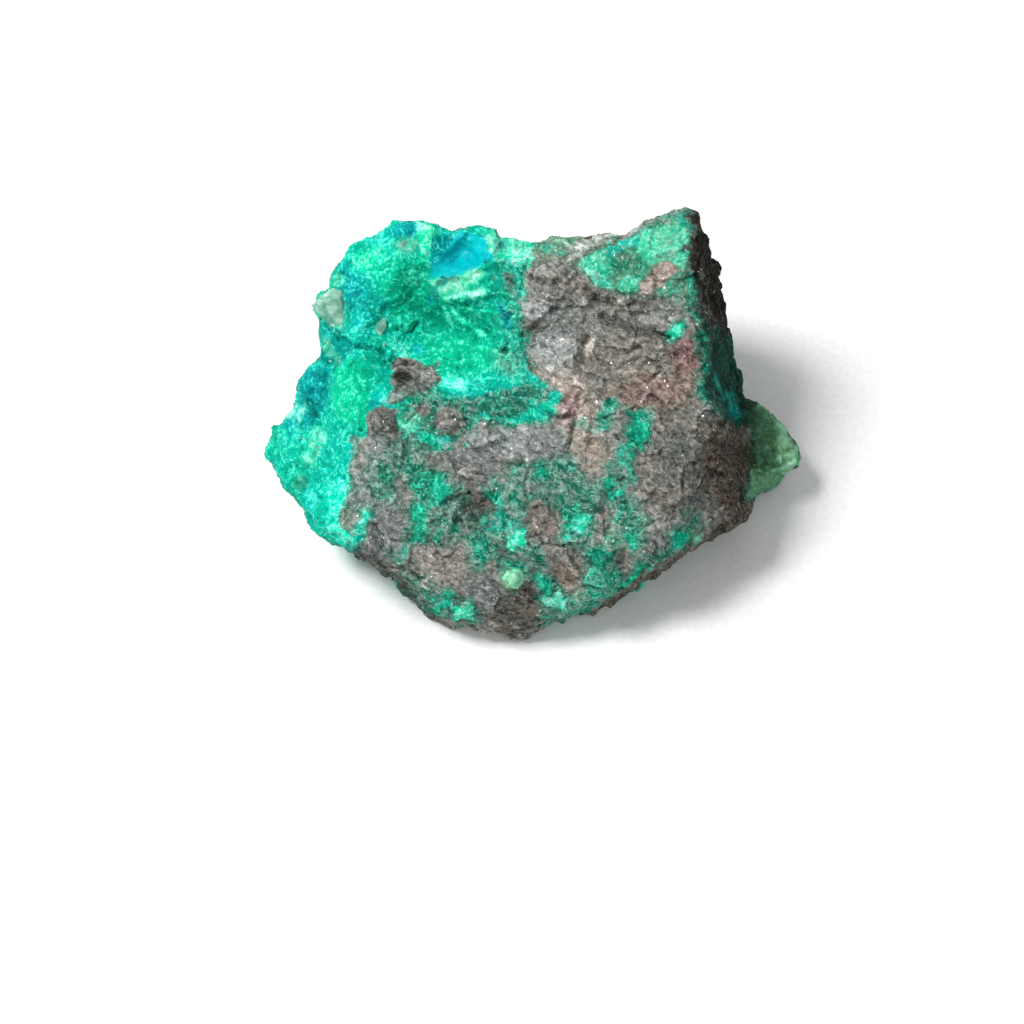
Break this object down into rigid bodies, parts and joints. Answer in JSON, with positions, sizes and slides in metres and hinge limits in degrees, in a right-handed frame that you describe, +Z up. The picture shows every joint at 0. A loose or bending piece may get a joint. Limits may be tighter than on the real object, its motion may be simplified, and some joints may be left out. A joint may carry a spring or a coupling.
{
  "type": "chrysocolla specimen",
  "caption": "Rough lump of grey copper-oxide rock crusted with green, mint and cyan chrysocolla, with a blue glassy spot and a quartz knob, lying on a flat break.",
  "frame": {"origin": "centre of the bottom of the box, on the flat break that the lump lies on", "axes": "+Z up as it rests, +X to the right along its longest extent, -Y the way the broad front face leans, 60 degrees up from level"},
  "size_m": [0.0674, 0.0522, 0.0332],
  "materials": {
    "chrysocolla_rock": "dull broken rock with a sugary green and cyan crust and fine glints"
  },
  "bodies": {
    "root": {"chrysocolla_rock": "chrysocolla_rock"}
  },
  "joints": []
}
